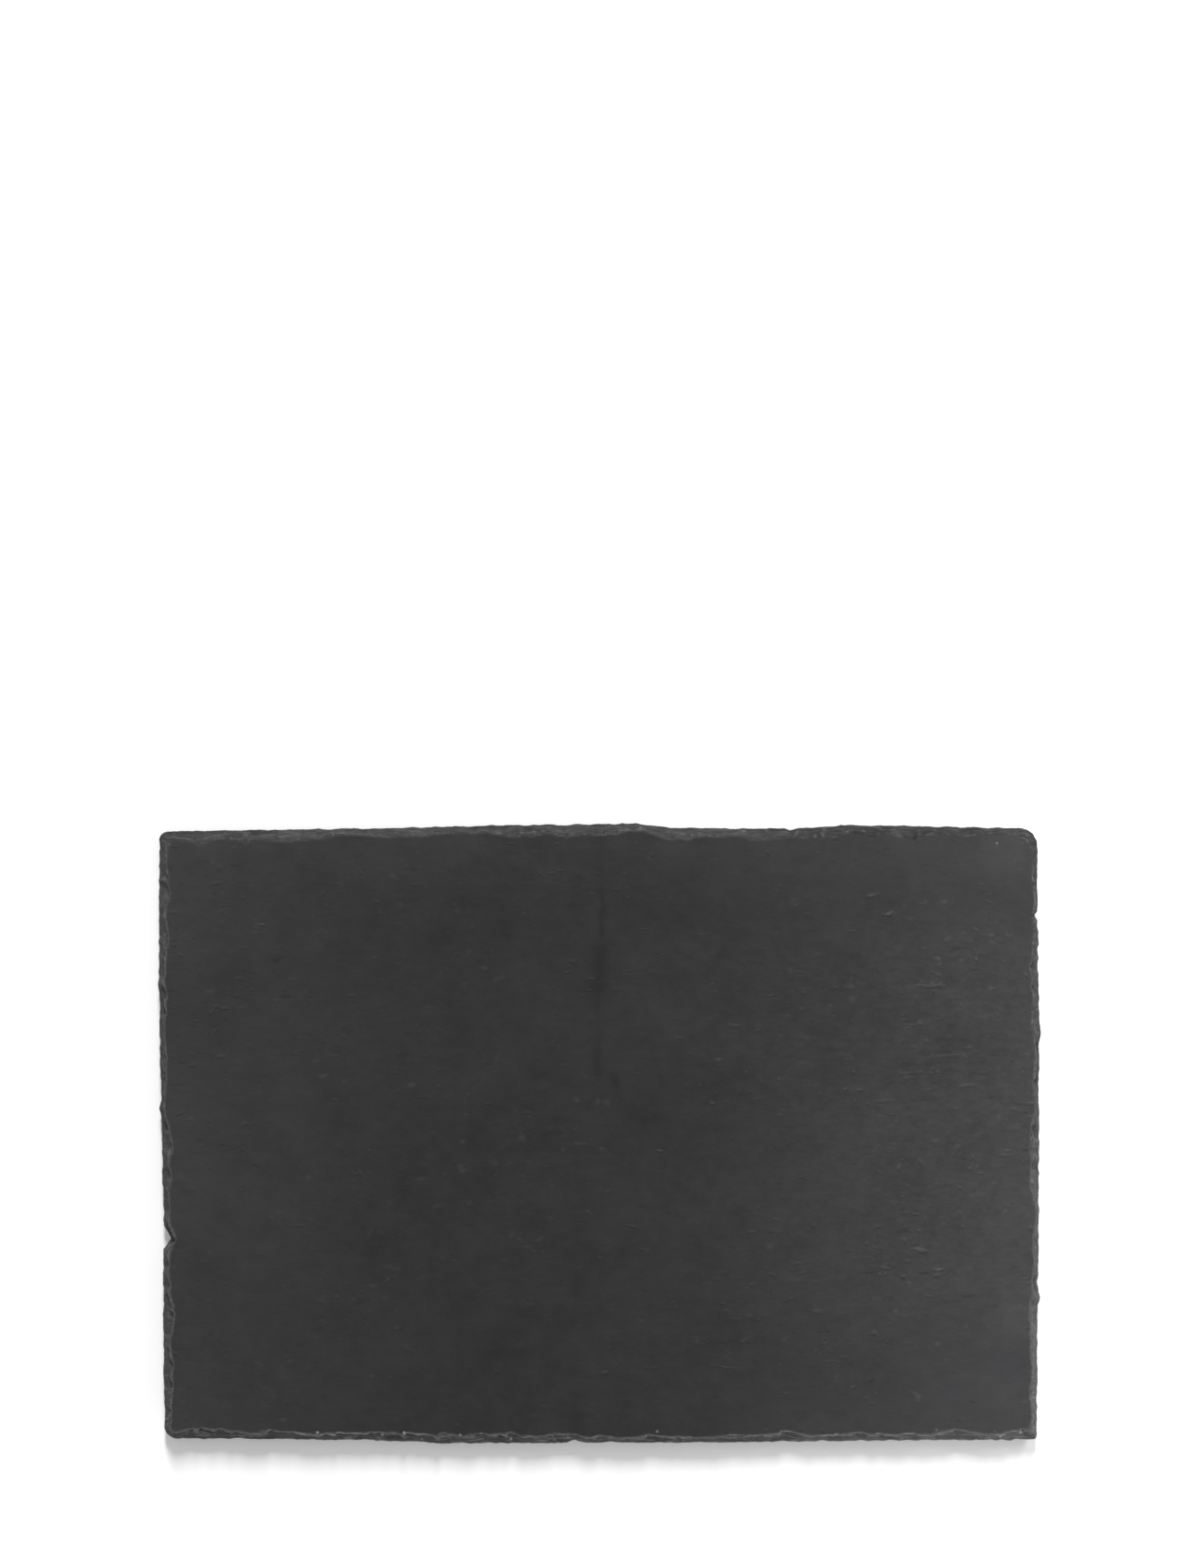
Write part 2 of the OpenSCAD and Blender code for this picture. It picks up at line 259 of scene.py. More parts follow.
def crowded(count, crowding, width):
    """Shares from 0 to 1, closer together round the middle: the running sum of a density
    of 1 plus a peak that falls off as 1 over 1 plus the squared distance."""
    fine = np.linspace(-0.5, 0.5, density_steps)
    total = fine + crowding * width * np.arctan(fine / width)
    even = np.linspace(total[0], total[-1], count + 1)
    return np.interp(even, total, fine) + 0.5


def stations_of(k):
    """Stations from the middle of the corner before side k to the middle of its own: side
    and share along it, or corner and share along it, and the distance round the girth."""
    long_side = k % 2 == 0
    count = long_stations if long_side else short_stations
    crowding = seam_crowding if long_side else 0
    shares = crowded(count, crowding, seam_crowd_width / board_length)[:-1]
    arc_before = corner_round[k - 1] * QUARTER / 2
    arc_after = corner_round[k] * QUARTER / 2
    travel = shares * (arc_before + side_span(k) + arc_after)
    on_arc_before = travel < arc_before
    on_arc_after = travel >= arc_before + side_span(k)
    side = np.where(on_arc_before, (k - 1) % 4, k)
    in_corner = on_arc_before | on_arc_after
    share = np.select(
        [on_arc_before, on_arc_after],
        [0.5 + travel / (2 * arc_before),
         (travel - arc_before - side_span(k)) / (2 * arc_after)],
        (travel - arc_before) / side_span(k))
    start = np.array(starts)[side] + np.where(in_corner, [side_span(n) for n in side], 0)
    span = np.where(in_corner, [corner_span(n) for n in side], [side_span(n) for n in side])
    return side, share, in_corner, start + share * span


side, share, in_corner, travel = (
    np.concatenate(part) for part in zip(*[stations_of(k) for k in range(4)]))


def dishes(s, h, pitch, bite, stream):
    """Depth of the deepest of the nearest dishes struck off the edge at distance s and
    height share h. A dish is 1 less the squares of the distances from its middle."""
    count = round(girth / pitch)
    nearest = np.floor(s * count / girth)
    deepest = np.zeros(np.broadcast(s, h).shape)
    for step in (-1, 0, 1):
        place = nearest + step
        item = place % count
        middle = (place + between(middle_shares, chance(item, stream))) * girth / count
        reach = pitch * between(reach_shares, chance(item, stream + 1))
        level = between(level_shares, chance(item, stream + 2))
        rise = between(rise_shares, chance(item, stream + 3))
        depth = bite * between(bite_shares, chance(item, stream + 4))
        dish = 1 - ((s - middle) / reach) ** 2 - ((h - level) / rise) ** 2
        deepest = np.maximum(deepest, depth * dish)
    return deepest


def nicks():
    """Nicks and nibs at every station, added up. Each falls off straight to its reach."""
    total = np.zeros(len(side))
    spans = np.array([side_span(k) for k in range(4)])
    for on_side, at, depth, reach in nick_shares:
        away = np.abs(share - at) * spans[on_side] / (nick_reach * reach)
        total += nick_depth * depth * np.maximum(0, 1 - away) * (side == on_side)
    return total * ~in_corner


def trim():
    """How far the trimmed side lies inside the box at every station."""
    along = np.where(in_corner, 1, share)
    total = np.zeros(len(side))
    for k, shares in enumerate(trim_shares):
        at, depth = zip(*shares)
        total = np.where(side == k, np.interp(along, at, depth), total)
    return trim_sway * total


def outline(inset):
    """Points of every station moved in by inset, one row per level. A side is a straight
    run, a corner a quarter circle that shrinks about its centre."""
    before, after = (side - 1) % 4, (side + 1) % 4
    trim_start = trim_sway * np.array([shares[0][1] for shares in trim_shares])
    trim_end = trim_sway * np.array([shares[-1][1] for shares in trim_shares])
    start_round = np.maximum(corner_round[before] - inset, least_round)
    end_round = np.maximum(corner_round[side] - inset, least_round)
    start = start_round + inset + trim_end[before] - half_run[side]
    end = half_run[side] - trim_start[after] - inset - end_round
    out = half_out[side] - trim() - inset
    turn = QUARTER * share
    along = np.where(in_corner, end + end_round * np.sin(turn), start + (end - start) * share)
    away = np.where(in_corner, out - end_round * (1 - np.cos(turn)), out)
    facing = QUARTER * side
    x = along * np.cos(facing) + away * np.sin(facing)
    y = along * np.sin(facing) - away * np.cos(facing)
    return np.stack([x, y], -1)


def seam_middle(y):
    """Where the seam's line lies near y, as the mean of a few places above and below. Past
    its end it eases back to the board's middle."""
    line = seam_shares[::-1]
    share_up = y / board_width
    near = [np.interp(share_up + step, line[:, 1], line[:, 0]) for step in seam_evening]
    return board_length * np.mean(near, 0) * (1 - eased(seam_ease * (line[0, 1] - share_up)))


def seam_valley(x, y):
    """The seam's share of its depth: the most, over the pieces of its line, of a strength
    times a bell that falls off with the square of the distance from the piece. The line
    sways and frays a little."""
    rows = seam_shares * (board_length, board_width, seam_width / 2, 1)
    x = x - seam_sway * ripple(x * 0, y, seam_sway_size, seam_sway_stream)
    fray = seam_fray_mean + seam_fray * ripple(
        x * seam_fray_stretch, y, seam_fray_size, seam_fray_stream)
    deepest = np.zeros(x.shape)
    for first, last in zip(rows[:-1], rows[1:]):
        run_x, run_y, _, _ = last - first
        along = ((x - first[0]) * run_x + (y - first[1]) * run_y) / (run_x ** 2 + run_y ** 2)
        along = np.clip(along, 0, 1)
        away = np.hypot(x - first[0] - along * run_x, y - first[1] - along * run_y)
        reach = fray * between((first[2], last[2]), along) + seam_least_reach
        bell = np.exp(-seam_bell * (away / reach) ** 2)
        deepest = np.maximum(deepest, between((first[3], last[3]), along) * bell)
    return deepest


def scar_dish(x, y):
    """Depth of the shallow scars where a leaf of slate has come away. A scar's floor rises
    with the square of the distance from its middle, and its outline frays a little."""
    deepest = np.zeros(x.shape)
    for at_x, at_y, size, depth in scar_shares:
        distance = np.hypot(x - at_x * board_length, y - at_y * board_width)
        distance *= 1 + scar_fray * ripple(x, y, scar_fray_size, scar_fray_stream)
        rise = 1 - (distance / (size * scar_radius)) ** 2
        deepest = np.maximum(deepest, depth * scar_depth * rise)
    return deepest


def leaf_steps(x, y, size, count, stream):
    """Terraces of split slate: a slow wave cut into count steps with short risers."""
    wave = count * (0.5 + 0.35 * ripple(x, y * 1.4, size, stream)
                    + 0.15 * ripple(x, y * 1.6, size / 3.7, stream + 1))
    step = np.floor(wave)
    return step + eased((wave - step - (1 - leaf_riser)) / leaf_riser)


def riven(x, y, waves, leaves):
    """Height of a split face about its mean: the sum of its slow waves and leaf steps."""
    swell = sum(height * ripple(x, y, size, stream) for height, size, stream in waves)
    height, size, count, stream = leaves
    return swell + height * (leaf_steps(x, y, size, count, stream) - count / 2)


def face_height(x, y):
    """Height of the serving face: the riven face less its scars and the seam."""
    return (slate_top - face_drop + riven(x, y, face_waves, face_leaves)
            - scar_dish(x, y) - seam_depth * seam_valley(x, y))


def under_height(x, y):
    """Height of the underside, flat where the feet are stuck on."""
    clear = np.ones(x.shape)
    for low, high in foot_boxes.values():
        centre = (low + high) / (2 * MM)
        reach = (high.x - low.x) / (2 * MM)
        distance = np.hypot(x - centre.x, y - centre.y)
        clear *= eased((distance - reach) / reach)
    return slate_base + (under_rise + riven(x, y, under_waves, under_leaves)) * clear


def by_side(shares):
    """Each side's own share at every station, mixed in the corners."""
    return np.where(in_corner, (1 - share) * shares[side] + share * shares[(side + 1) % 4],
                    shares[side])


def breadth():
    """Share of the bevel's width at every station, which sways along the girth."""
    sway = by_side(sway_shares) * ripple_round(travel, sway_pitch, sway_stream)
    return by_side(breadth_shares) * (1 + sway)


def splinters(s, pitch, stream):
    """Long chips along a plane of the slate: some of the cells round the girth lose one,
    which starts bluntly at one end and thins out to the other. Gives each chip's depth
    from 0 to 1, and how far along its cell it is, from -0.5 to 0.5."""
    count = round(girth / pitch)
    place = s / girth * count + chance(stream, start_stream)
    item = np.floor(place)
    along = place - item
    item = item % count
    along = np.where(chance(item, stream + 2) < 0.5, along, 1 - along)
    lost = chance(item, stream) < lost_share
    depth = between(splinter_shares, chance(item, stream + 1))
    return lost * depth * np.minimum(along / blunt_share, 1) * (1 - along), along - 0.5


def ledges(s, h, planes, pitch, bite, stream):
    """Treads and risers along planes of the slate. Above each plane the stone steps in
    where a splinter has gone, and the plane dips along the splinter. Also counts the
    planes passed, for the tone of each tread."""
    total, passed = np.zeros(np.broadcast(s, h).shape), np.zeros(np.broadcast(s, h).shape)
    for item, plane in enumerate(planes):
        depth, along = splinters(s, pitch, stream + 3 * item)
        dip = dip_share * (2 * chance(item, dip_stream) - 1)
        above = eased((h - plane - dip * along) / ledge_share)
        total += bite * depth * above
        passed += above
    return total, passed


def tread_tone(s, passed):
    """Tone of each tread, which changes along the girth and from plane to plane by up to
    1 either way."""
    tone = np.zeros(passed.shape)
    for item in range(len(plane_shares) + len(leaf_shares) + 1):
        near = np.maximum(0, 1 - np.abs(passed - item))
        tone += near * ripple_round(s, tread_tone_pitch, tread_tone_stream + item)
    return tone


def break_place():
    """Distance round the girth that sets each station's splinters. A corner breaks as one
    piece."""
    middle = [starts[k] + side_span(k) + corner_span(k) / 2 for k in range(4)]
    return np.where(in_corner, np.array(middle)[side], travel)


def cleared(inset, distance):
    """Inset of a ring that clears the deepest of its neighbours by distance, evened out
    along the girth."""
    window = range(-clearing_stations, clearing_stations + 1)
    deepest = np.max([np.roll(inset, n) for n in window], 0)
    return distance + sum(np.roll(deepest, n) for n in window) / len(window)


def edge_band():
    """The dressed edge: levels of stations from the lower arris to the serving face. Its
    inset is the sum of the section's bevel and lower step, ledges, leaves, nicks, struck
    dishes and grain, and its outline is brought to the board's box. Also gives the rings
    where the faces begin, one above and two below, and the tone of the treads with each side's
    painted light and shade."""
    h = np.linspace(0, 1, levels)[:, None]
    s = travel[None, :]
    bevel = np.interp(h, *bevel_shares.T)
    lower = np.interp(h, *step_shares.T)
    stepped, passed = ledges(
        break_place()[None, :], h, plane_shares, splinter_pitch, splinter_bite, splinter_stream)
    split, leaves = ledges(s, h, leaf_shares, leaf_pitch, leaf_bite, leaf_stream)
    inset = breadth() * (bevel_width * bevel + stepped + split) + lower_step * lower + nicks()
    for pitch, bite, stream, drop in (flakes, chips, crumbs, dents, spalls):
        inset = inset + dishes(s, h + drop, pitch, bite, stream)
    across, up = s + 0 * h, h * slate_thickness + grain_start
    inset = inset + grain_depth * (
        0.5 + 0.3 * ripple(across, up, grain_size, grain_stream)
        + 0.2 * ripple(across, 2 * up, grain_size / 2, grain_stream + 1))
    plan = outline(inset)
    low, high = plan.min((0, 1)), plan.max((0, 1))

    def fitted(places):
        """Brings places in plan to the board's box."""
        return ((places - low) / (high - low) - 0.5) * (board_length, board_width)

    plan = fitted(plan)
    rings = [fitted(outline(cleared(inset[-1], face_clearing)))[::2],
             fitted(outline(cleared(inset[0], step_clearing)))[::2],
             fitted(outline(cleared(inset[0], under_clearing)))[::4]]
    top = face_height(plan[-1, :, 0], plan[-1, :, 1])
    bottom = under_height(plan[0, :, 0], plan[0, :, 1])
    height = bottom + (top - bottom) * h
    # Each side's painted light and shade, plus each tread's own tone
    tone = by_side(side_shading_shares) + tread_tone_gain * tread_tone(s, passed + leaves)
    return np.concatenate([plan, height[..., None]], -1), rings, tone


def convexity(band):
    """How far each point of the edge stands proud of its neighbours two steps away, along
    the outward normal, in millimetres. Both arrises are carried on over the faces."""
    from_middle = np.linalg.norm(band[-1, :, :2], axis=1)[:, None]
    inwards = -arris_step * band[-1] / from_middle * (1, 1, 0)
    grid = np.concatenate([
        [band[0] + 2 * inwards, band[0] + inwards], band,
        [band[-1] + inwards, band[-1] + 2 * inwards]])
    along = np.roll(grid, -2, 1) - np.roll(grid, 2, 1)
    up = grid[4:] - grid[:-4]
    normal = np.cross(along[2:-2], up)
    normal /= np.linalg.norm(normal, axis=-1)[..., None]
    around = (np.roll(grid, -2, 1) + np.roll(grid, 2, 1))[2:-2] / 4 + (grid[4:] + grid[:-4]) / 4
    return ((band - around) * normal).sum(-1)


def filled(ring, across):
    """Grid inside a ring that starts at the front left corner. Four corners give a base
    of straight lines, and each side's departure from it fades out inwards."""
    n = len(across) - 1
    m = len(ring) // 2 - n
    up = np.linspace(0, 1, m + 1)
    loop = np.concatenate([ring, ring[:1]])
    front, right = loop[:n + 1], loop[n:n + m + 1]
    back, left = loop[n + m:2 * n + m + 1][::-1], loop[2 * n + m:][::-1]
    a, b = across[:, None, None], up[None, :, None]

    def base(a, b):
        """Mean of the four corners, weighted by the shares a across and b up."""
        return ((1 - a) * (1 - b) * front[0] + a * (1 - b) * front[-1]
                + a * b * back[-1] + (1 - a) * b * back[0])

    def fade(t):
        """1 on a side, and 0 beyond the share of the way in where it has no pull."""
        return 1 - eased(t / fade_share)

    grid = base(a, b)
    grid = grid + fade(b) * (front[:, None] - base(a, 0))
    grid = grid + fade(1 - b) * (back[:, None] - base(a, 1))
    grid = grid + fade(a) * (left[None] - base(0, b))
    return grid + fade(1 - a) * (right[None] - base(1, b))


def rim_of(grid_index):
    """Indices round a grid's rim, anticlockwise from its first corner."""
    return np.concatenate([grid_index[:-1, 0], grid_index[-1, :-1],
                           grid_index[:0:-1, -1], grid_index[0, :0:-1]])


def quads(index, close=False):
    """Four-sided faces of a grid of vertex indices, first index across, second up."""
    if close:
        index = np.concatenate([index, index[:1]])
    corners = [index[:-1, :-1], index[1:, :-1], index[1:, 1:], index[:-1, 1:]]
    return np.stack(corners, -1).reshape(-1, 4)


def halving(outer, inner):
    """Triangles between a ring and one inside it with half as many points."""
    even, odd, following = outer[::2], outer[1::2], np.roll(outer, -2)[::2]
    beside = np.roll(inner, -1)
    return np.concatenate([
        np.stack([even, odd, inner], -1),
        np.stack([odd, beside, inner], -1),
        np.stack([odd, following, beside], -1),
    ])


def make_piece(name, points, faces, material, attributes=(), sharp=None):
    """A mesh object at the origin, from points in millimetres and lists of faces."""
    mesh = bpy.data.meshes.new(name)
    mesh.from_pydata((points * MM).tolist(), [], [f for block in faces for f in block.tolist()])
    for label, values in dict(attributes).items():
        layer = mesh.attributes.new(label, "FLOAT", "POINT")
        layer.data.foreach_set("value", values.astype(np.float32))
    mesh.shade_smooth()
    if sharp is not None:
        mesh.set_sharp_from_angle(angle=math.radians(sharp))
    mesh.materials.append(material)
    piece = bpy.data.objects.new(name, mesh)
    bpy.context.scene.collection.objects.link(piece)
    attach(piece, BODY)
    return piece


def slab_mesh():
    """Points, faces and attributes of the whole slab. The edge band is closed above by a
    strip and a grid that follows the seam, and below by two strips and a coarser grid."""
    band, (rim, step, step_rim), tone = edge_band()
    count = band.shape[1]
    band_index = np.arange(levels * count).reshape(levels, count)
    across = crowded(long_stations // 2, seam_crowding, seam_crowd_width / board_length)

    face = filled(rim, across)
    inner = np.ones(face.shape[:2])
    inner[[0, -1]] = 0
    inner[:, [0, -1]] = 0
    pull = np.exp(-(face[..., 0] / seam_pull_reach) ** 2) * inner
    face[..., 0] += seam_middle(face[..., 1]) * pull
    face = np.concatenate([face, face_height(face[..., 0], face[..., 1])[..., None]], -1)
    face_index = band_index.size + np.arange(face[..., 0].size).reshape(face.shape[:2])

    step_index = face_index.max() + 1 + np.arange(len(step))
    under = filled(step_rim, np.linspace(0, 1, long_stations // 4 + 1))
    under = np.concatenate([under, under_height(under[..., 0], under[..., 1])[..., None]], -1)
    under_index = step_index.max() + 1 + np.arange(under[..., 0].size).reshape(under.shape[:2])
    step = np.concatenate([step, under_height(step[:, 0], step[:, 1])[:, None]], -1)

    points = np.concatenate([band.reshape(-1, 3), face.reshape(-1, 3), step, under.reshape(-1, 3)])
    faces = [
        quads(band_index.T, close=True),
        halving(band_index[-1], rim_of(face_index)),
        quads(face_index),
        halving(band_index[0], step_index)[:, ::-1],
        halving(step_index, rim_of(under_index))[:, ::-1],
        quads(under_index)[:, ::-1],
    ]
    on_edge = slice(0, band_index.size)
    on_face = slice(face_index.min(), face_index.max() + 1)
    marks = {name: np.zeros(len(points)) for name in ("dressed", "tone", "ridge", "seam", "scar")}
    marks["dressed"][on_edge] = 1
    # The tone carries each side's painted light and shade along with the treads' tones
    marks["tone"][on_edge] = tone.ravel()
    marks["ridge"][on_edge] = convexity(band).ravel()
    x, y = points[on_face, 0], points[on_face, 1]
    marks["scar"][on_face] = scar_dish(x, y) / scar_depth
    marks["seam"][on_face] = seam_valley(x, y)
    return points, faces, marks


class Wire:
    """A socket of a material's tree. Sums and products of wires add their Math nodes."""

    def __init__(self, finish, socket):
        self.finish = finish
        self.socket = socket

    def __add__(self, other):
        return self.finish.math("ADD", self, other)

    def __mul__(self, other):
        return self.finish.math("MULTIPLY", self, other)

    def __sub__(self, other):
        return self.finish.math("SUBTRACT", self, other)

    def __rsub__(self, other):
        return self.finish.math("SUBTRACT", other, self)

    __radd__ = __add__
    __rmul__ = __mul__


class Finish:
    """A material's tree, with one method that makes any node."""

    def __init__(self, name, owner=None):
        self.material = owner or bpy.data.materials.new(name)
        self.material.use_nodes = True
        self.tree = self.material.node_tree
        self.tree.nodes.clear()

    def node(self, kind, settings=None, sockets=None, out=0):
        """Makes a node, applies its settings, then sets or links its sockets."""
        node = self.tree.nodes.new(kind)
        for name, value in (settings or {}).items():
            setattr(node, name, value)
        for name, value in (sockets or {}).items():
            if isinstance(value, Wire):
                self.tree.links.new(value.socket, node.inputs[name])
            else:
                node.inputs[name].default_value = value
        return Wire(self, node.outputs[out]) if node.outputs else None

    def math(self, operation, a, b):
        """One sum, product or other Math node on two values."""
        return self.node("ShaderNodeMath", {"operation": operation}, {0: a, 1: b})

    def place(self, size, shift=(0, 0, 0)):
        """Object coordinates moved by shift and counted in sizes, both in millimetres."""
        spot = self.node("ShaderNodeTexCoord", out="Object")
        moved = self.node("ShaderNodeVectorMath", {"operation": "ADD"}, {
            0: spot, 1: [length * MM for length in shift]})
        return self.node("ShaderNodeVectorMath", {"operation": "MULTIPLY"}, {
            0: moved, 1: [1 / (length * MM) for length in size]})

    def noise(self, size, detail=3, rough=0.5, shift=(0, 0, 0), warp=0):
        """Noise near 0.5 whose largest waves are size across."""
        return self.node("ShaderNodeTexNoise", {}, {
            "Vector": self.place(size, shift), "Scale": 1, "Detail": detail, "Roughness": rough,
            "Distortion": warp})

    def along(self, axis, start, end):
        """Rises from 0 to 1 between two places on an axis, in millimetres."""
        spot = self.node("ShaderNodeTexCoord", out="Object")
        part = self.node("ShaderNodeSeparateXYZ", {}, {0: spot}, out=axis)
        return self.rising(part, start * MM, end * MM)

    def rising(self, value, low, high):
        """0 below low, 1 above high, and eased between."""
        return self.node("ShaderNodeMapRange", {"interpolation_type": "SMOOTHSTEP"}, {
            "Value": value, "From Min": low, "From Max": high})

    def mixed(self, share, a, b):
        """Colour a with a share of colour b."""
        return self.node("ShaderNodeMix", {"data_type": "RGBA"}, {
            "Factor": share, 6: a, 7: b}, out=2)

    def attribute(self, name):
        """A value that the mesh keeps at its points."""
        return self.node("ShaderNodeAttribute", {"attribute_name": name}, out="Fac")

    def surface(self, sockets):
        """The shader itself, joined to the material's output."""
        shader = self.node("ShaderNodeBsdfPrincipled", {}, sockets)
        self.node("ShaderNodeOutputMaterial", {}, {"Surface": shader})
        return self.material


def grey(value, warmth=0):
    """A linear grey, with a little more red than blue where warmth is above 0."""
    return (value * (1 + warmth), value, value * (1 - warmth), 1)


# Colours, the darker one first where there are two
leaf_tones = grey(0.006), grey(0.0527)
# Pale marks: smudges and scars, and the painted lit side of the ledges, the paler one to the right
# for the painted sheen
mark_tones = grey(0.05), grey(0.085)
broken_tones = grey(0.02), grey(0.09)
# Bright specks painted as glints
glint_tones = grey(0.22), grey(0.4)
shade_tone = grey(0.011)
# Painted shade of the seam
seam_shade_tone = grey(0.008)
# Slivers of fresh break, with painted highlight
sliver_and_highlight_tone = grey(0.19)
# Dust on the ridges, with painted highlight
dust_and_highlight_tone = grey(0.14)
bloom_tone = (0.026, 0.026, 0.036, 1)
rust_tone = (0.085, 0.042, 0.034, 1)
rubber_tones = grey(0.008), grey(0.03, 0.04)
adhesive_tones = (0.5, 0.48, 0.42, 1), (0.62, 0.6, 0.54, 1)

# Sizes of the marks of the serving face, and how far in front of each its painted shade lies
dash_size, dash_drop = (6.5, 2.2, 3), 0.9
spot_size, spot_drop = (3, 2.8, 3), 1.1
ledge_size, ledge_drop = (15, 2.8, 3), 1.1
glint_cell = (8, 8, 8)


def slate_finish():
    """Dry riven slate: a dark leaf with clouds, blotches, faint smudges and short ledges
    along X that thicken to the right, a little paler in its scars and darker in its seam, where
    the dark is painted shade. A painted sheen pales the leaf to the right, paler still at the
    front right and darker at the back right; each ledge has a painted highlight on its lit side
    and a painted shade in front, and pits are painted dark with shade.
    Where the stone is dressed it breaks paler, in thin layers, with dusty ridges that also carry a
    painted highlight, slivers along the front brightened as painted highlight, traces of rust and
    a few bright specks painted as glints. The edge has painted light on its front and left sides
    and at the front right, and painted shade on its right and back sides, at the back right and on
    its lower part."""
    f = Finish("slate")
    dressed, seam, scar = f.attribute("dressed"), f.attribute("seam"), f.attribute("scar")
    # The tone attribute carries each tread's tone and each side's painted light and shade
    tread, ridge = f.attribute("tone"), f.attribute("ridge")

    # Places on the board
    to_right = f.along("X", 10, 160)
    to_left = f.along("X", -50, -150)
    to_front = f.along("Y", -80, -118)
    to_back = f.along("Y", 98, 108)
    front_right = to_right * f.along("Y", 40, -110)
    back_right = to_right * f.along("Y", -40, 110)
    back_left = to_left * f.along("Y", -10, 90)
    busy = to_right * f.along("Y", -100, -40) * f.along("Y", 105, 50)
    near_rim = (0.12 * f.along("X", 130, 165) + 0.14 * f.along("X", -135, -165)
                + 0.2 * f.along("Y", 80, 114))

    # Leaf of the serving face
    cloud = f.noise((60, 45, 30), 2)
    blotch = f.noise((16, 13, 10), 3, 0.55, (300, 0, 0))
    mottle = f.noise((5.5, 4, 4), 4, 0.6, (0, 200, 0))
    grit = f.noise((0.8, 0.8, 0.8), 2, 0.6)
    streak = f.noise((7, 2.2, 4), 3, 0.6, (0, 0, 80))
    fleck = f.noise((3.6, 1.8, 2), 3, 0.6, (40, 0, 0), 0.4)
    # The to_right term paints a sheen that grows towards the right, the front_right term paints
    # light at the front right and the back_right term paints shade at the back right
    tone = (0.4 + near_rim + 0.45 * (cloud - 0.5) + 0.42 * (blotch - 0.5)
            + (0.38 + 0.2 * busy) * (mottle - 0.5) + 0.12 * (streak - 0.5)
            + (0.1 + 0.65 * busy) * (fleck - 0.5) + 0.1 * (grit - 0.5)
            + 0.5 * to_right + 0.24 * to_left + 0.13 * front_right - 0.15 * back_right)
    leaf = f.mixed(0.6 * tone, *leaf_tones)
    # The pale marks get paler to the right with the same painted sheen
    pale = f.mixed(to_right, *mark_tones)

    # Smudges and scars
    cluster = f.rising(f.noise((26, 20, 20), 2, 0.5, (90, 0, 0)) + 0.1 * to_left, 0.48, 0.64)
    smudge = cluster * f.rising(f.noise((5, 3.2, 3), 1, 0.5, (0, 0, 50)), 0.62, 0.85)
    leaf = f.mixed(0.4 * smudge, leaf, pale)
    leaf = f.mixed(0.12 * scar, leaf, pale)

    # Short ledges, painted pale on their lit side with a painted shade in front of each, and pits
    # painted dark with shade
    crowd = f.noise((34, 24, 20), 2, 0.55, (0, 60, 0))
    strength = f.rising(f.noise((11, 9, 8), 2, 0.6, (0, 0, 25)), 0.35, 0.65)
    lift = (0.01 + 0.05 * busy + 0.035 * back_left + 0.25 * (crowd - 0.5)
            + 0.1 * (fleck - 0.5))

    def marks(size, across, up=0):
        """Soft blots where a noise of this size rises above most of its range."""
        return f.rising(f.noise(size, 1.2, 0.5, (across, up, 0), 0.3) + lift, 0.7, 0.88)

    dash = strength * (marks(dash_size, 0) + 0.7 * marks(spot_size, 30)
                       + busy * marks(ledge_size, 200))
    shade = (marks(dash_size, 0, dash_drop) + 0.7 * marks(spot_size, 30, spot_drop)
             + 0.6 * busy * marks(ledge_size, 200, ledge_drop))
    pit = marks(dash_size, 500)
    leaf = f.mixed(0.6 * shade, leaf, shade_tone)
    leaf = f.mixed(0.5 * pit, leaf, shade_tone)
    # The pale dash is a painted highlight on the lit side of each ledge
    leaf = f.mixed(0.6 * dash, leaf, pale)

    # Bluish bloom at the front right, and painted shade in the seam
    bloom = to_right * f.along("Y", -50, -85) * f.rising(
        f.noise((20, 15, 20), 2, 0.5, (0, 40, 0)), 0.45, 0.6)
    leaf = f.mixed(0.2 * bloom, leaf, bloom_tone)
    # The seam is painted dark as shade in its crease
    leaf = f.mixed(0.85 * seam, leaf, seam_shade_tone)

    # Broken stone of the edge, calmer along the back and at the left, with painted light and shade
    layers = f.noise((7, 7, 0.3), 3, 0.6)
    facets = f.noise((3.5, 3.5, 1.5), 3, 0.6, (70, 0, 0))
    # Lower part of the edge, painted darker as shade
    lower = f.along("Z", 6.2, 4.4)
    crumble = f.noise((1.1, 1.1, 0.6), 4, 0.7, (0, 30, 0))
    patches = f.noise((13, 9, 6), 2, 0.5, (0, 0, 60))
    calm = 1 - 0.4 * f.along("X", -152, -159) - 0.45 * to_back
    # ridge pales the stone where it stands proud, partly wear and partly a painted highlight;
    # tread carries each side's painted light and shade; front_right paints light at the front
    # right, back_right paints shade at the back right, and lower paints shade low down
    break_tone = (0.5 + calm * (0.3 * (layers - 0.5) + 0.4 * (facets - 0.5)
                                + 0.2 * (crumble - 0.5) + 0.7 * ridge)
                  + (1 - 0.4 * to_back) * tread + 0.6 * to_back * (patches - 0.6)
                  - 0.2 * lower + 0.42 * front_right - 0.2 * back_right)
    broken = f.mixed(break_tone, *broken_tones)
    # Pale slivers of fresh break, brightened along the front as a painted highlight
    sliver = f.rising(f.noise((6, 1, 1), 2, 0.5, (0, 0, 35)), 0.54, 0.66)
    broken = f.mixed(sliver * (0.15 + 0.55 * to_front), broken, sliver_and_highlight_tone)
